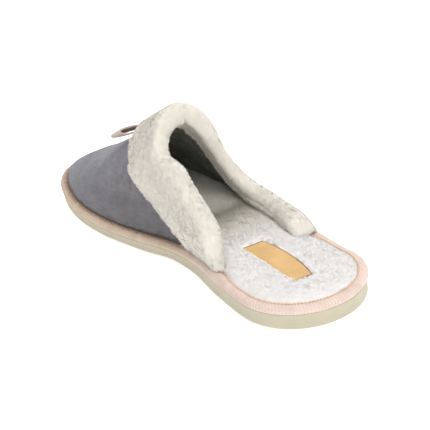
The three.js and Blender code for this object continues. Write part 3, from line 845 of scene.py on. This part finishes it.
def vamp():
    rounds, rows = 260, 120
    w = np.linspace(0, 1, rounds + 1)
    t = np.linspace(0, 1, rows + 1)
    t = t * (1 + t) / 2
    tt, ww = np.meshgrid(t, w)
    outside = around(tt, ww, 0.0).reshape(-1, 3)
    inside = around(tt, ww, -WALL).reshape(-1, 3)
    faces = quads(rounds + 1, rows + 1)
    out = vertex_normals(outside, faces)
    if out[len(out) // 2][2] < 0:
        out = -out
    rise = np.clip((outside[:, 2] - seam(outside[:, 1])) / 7, 0, 1)
    run = ww.ravel() * 300
    tuck = (1 - rise) ** 2 * rise * 4
    shape = -crease_depth(outside)
    shape += rumple(outside, SUEDE_WAVES)
    shape -= tuck * (0.25 + 0.5 * noise(outside, 4.5, 13) + 0.25 * np.sin(run / 0.9))
    shape *= smooth(rise * 3)
    under = smooth((tt - cuff_share(ww, EDGE["outer_end"])).ravel() / 0.04)
    shape = mix(shape, -UNDER_CUFF, under)
    outside = outside + out * shape[:, None]
    n = len(outside)
    both = [list(f) for f in faces] + [[n + k for k in f[::-1]] for f in faces]
    slots = [0] * len(faces) + [1] * len(faces)
    edge_rows = [
        np.arange(rows + 1),
        rounds * (rows + 1) + np.arange(rows + 1),
        np.arange(rounds + 1) * (rows + 1) + rows,
    ]
    for line in edge_rows:
        both += strip(line, n + line)
        slots += [0] * (len(line) - 1)
    height = np.concatenate([rise, np.ones(n)])
    piece = build("suede_upper", np.concatenate([outside, inside]), both, [SUEDE, LINING],
                  slots=slots, uv=np.stack([0 * height, height], 1))
    place_piece(piece, "grey_suede", "vamp")


# Cuff sections, drawn in by the pile that stands on them: place along the flap or past the
# edge, and share of the thickness
PILE, FLAP_LEAST = 1.3, 0.7
OUTER_FLAP = [(0.00, 0.10), (0.01, 0.60), (0.06, 0.92), (0.20, 1.00), (0.60, 1.05), (0.95, 1.10)]
FOLD = [(0.45, 1.00), (0.85, 0.62), (1.00, 0.10), (0.85, -0.62), (0.40, -1.00)]
INNER_FLAP = [(0.95, 1.10), (0.60, 1.05), (0.20, 1.00), (0.05, 0.85), (0.00, 0.40)]


def foot_rise(t, w):
    """0 where the cuff stands on the band and 1 above the height of its foot."""
    point = around(np.minimum(t, 1), w, 0)
    return smooth((point[..., 2] - seam(point[..., 1])) / FOOT_HEIGHT)


def outer_swell(t, w):
    return mix(FOOT_SWELL, 1, foot_rise(t, w)) * EDGE["plump"](w)


def inner_swell(t, w):
    return mix(FOOT_SPREAD, 1, foot_rise(t, w)) * EDGE["lining"](w)


def cuff_share(w, end):
    """Share of the way from the toe tip to the throat edge at which a flap ends."""
    tip = LENGTH / 2 - RIM_INSET
    return (tip - place(end(w))) / (tip - place(EDGE["along"](w)))


def cuff_section(w):
    front, back = cuff_share(w, EDGE["outer_end"]), cuff_share(w, EDGE["inner_end"])
    middle = -WALL / 2
    past = CUFF_FOLD * mix(FOLD_LEAST, 1, outer_swell(1, w)) * EDGE["fold"](w) - PILE
    section = [around(front, w, middle)]
    for step, thick in OUTER_FLAP:
        t = mix(front, 1, step)
        flap = np.maximum(CUFF_OUTER * outer_swell(t, w) - PILE, FLAP_LEAST)
        section.append(around(t, w, SEAT + thick * flap))
    for on, out in FOLD:
        swell = CUFF_OUTER * outer_swell(1, w) if out > 0 else CUFF_INNER * inner_swell(1, w)
        section.append(beyond(w, past * on, middle + out * (swell - PILE + WALL / 2 + SEAT)))
    for step, thick in INNER_FLAP:
        t = mix(back, 1, step)
        flap = np.maximum(CUFF_INNER * inner_swell(t, w) - PILE, FLAP_LEAST)
        section.append(around(t, w, -WALL - SEAT - thick * flap))
    section.append(around(back, w, middle))
    return np.stack(section)


def closed_spline(points, per):
    """Catmull-Rom through closed rows of points, per steps between each two."""
    n = len(points)
    rows = []
    for i in range(n):
        p0, p1, p2, p3 = (points[(i + k) % n] for k in (-1, 0, 1, 2))
        for j in range(per):
            t = j / per
            rows.append(0.5 * (2 * p1 + (p2 - p0) * t + (2 * p0 - 5 * p1 + 4 * p2 - p3) * t * t
                               + (3 * p1 - p0 - 3 * p2 + p3) * t ** 3))
    return np.stack(rows)


# Where the near arm laps over the far one: place round the throat, last row of the section,
# step, groove and the groove's half width
LAP_AT, LAP_END, LAP_RISE, LAP_GROOVE, GROOVE_WIDTH = 0.522, 17.0, 1.1, 1.2, 0.012
# Rounded ends of the two arms: reach towards the heel and drop
ARM_ENDS = ((0, 4.0, 0.8), (-1, 7.0, 2.5))
CAP_STEPS = 4


def collar():
    rounds, per = 440, 5
    w = np.linspace(0, 1, rounds + 1)
    section = closed_spline(cuff_section(w), per).transpose(1, 0, 2)
    ends = []
    for index, reach, drop in ARM_ENDS:
        core = section[index].mean(0)
        for k in range(1, CAP_STEPS + 1):
            turn = k / CAP_STEPS * math.pi / 2
            cap = core + (section[index] - core) * max(math.cos(turn), 0.02)
            cap[:, 1] -= reach * math.sin(turn)
            cap[:, 2] -= drop * math.sin(turn)
            ends.append(cap)
    first, last = ends[:CAP_STEPS][::-1], ends[CAP_STEPS:]
    grid = np.concatenate([np.stack(first), section, np.stack(last)])
    rows, columns = grid.shape[:2]
    points = grid.reshape(-1, 3)
    faces = quads(rows, columns, close_columns=True)
    out = vertex_normals(points, faces)
    if out[np.argmax(points[:, 2])][2] < 0:
        out = -out
    shape = rumple(points, CUFF_WAVES)
    around_w = np.repeat(np.clip((np.arange(rows) - CAP_STEPS) / rounds, 0, 1), columns)
    through_fold = np.tile(np.arange(columns) / per, rows)
    lapped = smooth((through_fold - 6) / 2) * smooth((LAP_END - through_fold) / 1.5)
    beside = around_w - LAP_AT
    lap_step = np.where(beside < 0, np.exp(beside / 0.05), -np.exp(-beside / 0.035))
    shape += lapped * (LAP_RISE * lap_step - LAP_GROOVE * np.exp(-(beside / GROOVE_WIDTH) ** 2))
    points = points + out * shape[:, None]
    piece = build("plush_cuff", points, faces, [PLUSH])
    place_piece(piece, "white_plush", "plush_collar")
    tufts = pile("cuff_pile", piece, 195000, 1.7, PLUSH, lambda c, n: np.ones(len(c), bool),
                 seed=5, clump=0.13, nub=0.4)
    place_piece(tufts, "white_plush")


# Edge of the insole: share of the crown's reach and of its height
INSOLE_EDGE = [(0.00, -0.10), (0.10, 0.15), (0.25, 0.42), (0.45, 0.70), (0.70, 0.90), (1.00, 1.00)]


def insole():
    count = 300
    side = rim_inside(SEAT)
    rings = [
        ring(lambda y: side(y) + SEAT, lambda y: seam(y) - INSOLE_RECESS + SEAT, count),
        ring(side, lambda y: seam(y) - INSOLE_RECESS + 2 * SEAT, count),
    ]
    for reach, up in INSOLE_EDGE:
        rings.append(ring(lambda y, r=reach: side(y) + r * CROWN_REACH,
                          lambda y, u=up: seam(y) + u * INSOLE_CROWN, count))
    n = count // 2
    left, right = (rings[-1][side_index] for side_index in halves(0, count))
    across = 24
    fill = [mix(left, right, k / across) for k in range(1, across)]
    points = np.concatenate(rings)
    faces = [list(f) for f in quads(len(rings), count, close_columns=True)]
    left_index, right_index = halves((len(rings) - 1) * count, count)
    grid = [left_index]
    low = len(points)
    for k in range(across - 1):
        row = low + k * (n + 1) + np.arange(n + 1)
        row[0], row[-1] = left_index[0], left_index[-1]
        grid.append(row)
    grid.append(right_index)
    points = np.concatenate([points, *fill])
    for a, b in zip(grid[:-1], grid[1:]):
        faces += strip(a, b)
    faces += strip(*halves(0, count))
    top = points[:, 2] > seam(points[:, 1]) + 0.2
    lift = rumple(points, INSOLE_WAVES)
    hollow = patch_hollow(points)
    points[:, 2] += np.where(top, lift * (1 - hollow) - PATCH_DEPTH * hollow, 0)
    piece = build("plush_insole", points, faces, [FOOTBED])
    place_piece(piece, "white_plush", "insole")

    def keep(where, facing):
        plan = where / MM + [SHIFT, 0, 0]
        return (facing[:, 2] > 0.2) & (patch_hollow(plan) < 0.5)

    tufts = pile("insole_pile", piece, 160000, 1.3, FOOTBED, keep, seed=6, clump=0.06, nub=0.2)
    place_piece(tufts, "white_plush")


def patch_frame(points):
    """Places across and along the label."""
    y = place(PATCH_AT)
    turn = math.radians(-PATCH_TURN)
    d = points[:, :2] - [float(centre(np.array(y))) + PATCH_SHIFT, y]
    across = d[:, 0] * math.cos(turn) + d[:, 1] * math.sin(turn)
    along = -d[:, 0] * math.sin(turn) + d[:, 1] * math.cos(turn)
    return across, along


def patch_sides(along):
    """Inner and outer edge of the patch at a place along it."""
    part = np.clip(along / (PATCH_LENGTH / 2), -1, 1)
    cut = PATCH_WIDTH / 2 * PATCH_ENDS
    outer = PATCH_WIDTH / 2 * (PATCH_ENDS + (1 - PATCH_ENDS) * (1 - part ** 2))
    return -cut * mix(1, PATCH_FLARE, (1 + part) / 2), outer


def patch_hollow(points):
    """1 in the pocket under the label and 0 on the insole around it."""
    across, along = patch_frame(points)
    inner, outer = patch_sides(along)
    inside = np.minimum(np.minimum(across - inner, outer - across), PATCH_LENGTH / 2 - np.abs(along))
    return smooth(inside / 1.2 + 0.7)


def label():
    along_n, across_n = 60, 24
    u, v = np.meshgrid(np.linspace(-1, 1, along_n + 1), np.linspace(-1, 1, across_n + 1), indexing="ij")
    along = u * PATCH_LENGTH / 2
    inner, outer = patch_sides(along)
    across = mix(inner, outer, (1 + v) / 2)
    turn = math.radians(-PATCH_TURN)
    y0 = place(PATCH_AT)
    x = float(centre(np.array(y0))) + PATCH_SHIFT + across * math.cos(turn) - along * math.sin(turn)
    y = y0 + across * math.sin(turn) + along * math.cos(turn)
    rim = np.minimum(1 - np.abs(u) ** 14, 1 - np.abs(v) ** 8)
    z = seam(y) + INSOLE_CROWN - PATCH_SINK + PATCH_DOME * np.sqrt(np.clip(rim, 0, 1))
    top = np.stack([x, y, z], -1).reshape(-1, 3)
    top[:, 2] += 0.12 * noise(top, 9, 41)
    low = top.copy()
    low[:, 2] -= PATCH_THICK
    faces = two_sided(along_n, across_n)
    upper_faces = along_n * across_n
    row, column = np.divmod(np.arange(upper_faces), across_n)
    # Border, rim and underside of the label take the dark edge colour: burnt edge and painted shade
    dark_edge_and_shade = (row < 2) | (row > along_n - 3) | (column > across_n - 3)
    slots = np.concatenate([dark_edge_and_shade, np.ones(len(faces) - upper_faces, bool)]).astype(int)
    piece = build("bare_label", np.concatenate([top, low]), faces, [PATCH, PATCH_DARK_EDGE_AND_SHADE], slots=list(slots))
    place_piece(piece, "tan_patch", "insole_label")


# Bow, built level and laid on the instep
LOOP_ROWS = table(
    "at out up broad pinch",
    (0.00, 0.00, -0.36, 0.45, 0.05), (0.22, 0.45, -0.36, 0.80, 0.16), (0.42, 0.90, -0.12, 1.00, 0.10),
    (0.50, 1.00, 0.14, 1.00, 0.00), (0.58, 0.90, 0.40, 1.00, -0.08), (0.78, 0.45, 0.34, 0.80, -0.24),
    (1.00, 0.00, 0.08, 0.45, -0.05),
)


def lay_on_instep(points):
    """Turns and moves the bow's own millimetres to the crest of the instep."""
    y = place(BOW_AT)
    crest = upper(np.array([y - 2, y, y + 2]), 0.5, 0)
    slope = math.atan2(crest[2, 2] - crest[0, 2], 4)
    lift = KNOT_HEIGHT / 2 + SEAT
    cos, sin = math.cos(slope), math.sin(slope)
    turned = np.stack([points[:, 0], points[:, 1] * cos - points[:, 2] * sin,
                       points[:, 1] * sin + points[:, 2] * cos], 1)
    return turned + crest[1] + [BOW_SHIFT, -sin * lift, cos * lift]


def bow_loop(name, side, node):
    loop = curves(LOOP_ROWS)
    steps, wide = 60, 16
    t = np.linspace(0, 1, steps + 1)
    start = KNOT_WIDTH / 2 - 1.0

    def line(u):
        return np.stack([start + loop["out"](u) * (LOOP_LENGTH - start), loop["up"](u) * LOOP_HEIGHT], -1)

    here = line(t)
    along = unit(line(np.minimum(1, t + 0.01)) - line(np.maximum(0, t - 0.01)))
    normal = np.stack([-along[:, 1], along[:, 0]], -1)
    broad = loop["broad"](t) * RIBBON_WIDTH / 2
    across = np.linspace(-1, 1, wide + 1)
    front = loop["pinch"](t)[:, None] * LOOP_HEIGHT * (1 + across) / 2
    sheets = []
    for lift in (RIBBON_HALF, -RIBBON_HALF):
        x = here[:, 0, None] + normal[:, 0, None] * lift + 0 * across
        z = here[:, 1, None] + normal[:, 1, None] * lift + front
        gather = np.clip(1 - (here[:, 0, None] - start) / 12, 0, 1)
        z = z + gather * 0.35 * np.cos(across * 3 * np.pi) * (1 - np.abs(across) * 0.3)
        sheets.append(np.stack([side * x, broad[:, None] * across, z], -1))
    top = sheets[0].reshape(-1, 3)
    low = sheets[1].reshape(-1, 3)
    points = lay_on_instep(np.concatenate([top, low]))
    piece = build(name, points, two_sided(steps, wide), [RIBBON])
    crisp(piece, 60)
    place_piece(piece, "bow_ribbon", node)


def bow_knot():
    around_n, across_n = 48, 20
    turns = np.linspace(0, 2 * np.pi, around_n, endpoint=False)
    a, v = np.meshgrid(turns, np.linspace(-1, 1, across_n + 1), indexing="ij")
    fat = 1 - 0.28 * np.abs(v) ** 3
    pleat = 1 + 0.035 * np.cos(v * 4 * np.pi)
    x = v * KNOT_WIDTH / 2
    y = np.cos(a) * KNOT_DEPTH / 2 * fat * pleat
    z = np.sin(a) * KNOT_HEIGHT / 2 * fat * pleat
    points = np.stack([x, y, z], -1).reshape(-1, 3)
    faces = [list(f) for f in quads(around_n, across_n + 1, close_rows=True)]
    for column in (0, across_n):
        faces.append([r * (across_n + 1) + column for r in range(around_n)])
    piece = build("bow_centre", lay_on_instep(points), faces, [RIBBON])
    crisp(piece, 50)
    place_piece(piece, "bow_ribbon", "bow_knot")


outsole()
band()
stitches()
insole()
label()
vamp()
collar()
bow_loop("ribbon_loop_medial", -1, "bow_loop_medial")
bow_loop("ribbon_loop_lateral", 1, "bow_loop_lateral")
bow_knot()


# Floor, light and camera
def floor():
    mesh = bpy.data.meshes.new("floor")
    size, below = 30.0, -0.0002
    corners = [(-size, -size, below), (size, -size, below), (size, size, below), (-size, size, below)]
    mesh.from_pydata(corners, [], [(0, 1, 2, 3)])
    material, _, shader = node_material("white_floor", (0.8, 0.8, 0.8), 1.0)
    shader.inputs["Emission Color"].default_value = (1, 1, 1, 1)
    shader.inputs["Emission Strength"].default_value = 0.6
    mesh.materials.append(material)
    linked("floor", mesh)


LAMP_AIM = Vector((0, 0, 0.02))


def lamp(name, where, size, power):
    data = bpy.data.lights.new(name, "AREA")
    data.shape, data.size, data.energy = "SQUARE", size, power
    lamp_ = linked(name, data)
    lamp_.location = where
    lamp_.rotation_mode = "QUATERNION"
    lamp_.rotation_quaternion = (LAMP_AIM - Vector(where)).to_track_quat("-Z", "Y")


floor()
lamp("key", (0.0, -0.45, 1.3), 0.9, 6.2)
lamp("fill", (0.1, -1.0, 0.8), 0.7, 3)
lamp("back", (0.6, 0.5, 1.1), 0.8, 5)
lamp("front", (-0.58, -1.0, 0.56), 0.5, 2.8)
world = bpy.data.worlds.new("studio")
world.use_nodes = True
sky = world.node_tree.nodes["Background"]
sky.inputs["Color"].default_value = (1, 1, 1, 1)
sky.inputs["Strength"].default_value = 0.66
bpy.context.scene.world = world
bpy.context.scene.view_settings.view_transform = "Standard"

# Camera: the photo's angle; picture width and focal length in its pixels, sensor in millimetres
CAMERA_TURN, CAMERA_RISE, CAMERA_ROLL = map(math.radians, (-29.84, 25.55, -8.34))
CAMERA_AIM, CAMERA_AWAY = Vector((0.02006, 0.02229, 0)), 0.695
PICTURE, FOCAL, SENSOR = 430, 1167.54, 36
right = Vector((math.cos(CAMERA_TURN), math.sin(CAMERA_TURN), 0))
back = Vector((
    math.sin(CAMERA_TURN) * math.cos(CAMERA_RISE),
    -math.cos(CAMERA_TURN) * math.cos(CAMERA_RISE),
    math.sin(CAMERA_RISE),
))
up = back.cross(right)
rolled_right = right * math.cos(CAMERA_ROLL) + up * math.sin(CAMERA_ROLL)
rolled_up = up * math.cos(CAMERA_ROLL) - right * math.sin(CAMERA_ROLL)
camera_data = bpy.data.cameras.new("camera")
camera_data.sensor_width = SENSOR
camera_data.lens = FOCAL / PICTURE * SENSOR
camera = linked("camera", camera_data)
turn = Matrix((rolled_right, rolled_up, back)).transposed()
camera.matrix_world = Matrix.Translation(CAMERA_AIM + back * CAMERA_AWAY) @ turn.to_4x4()
bpy.context.scene.camera = camera
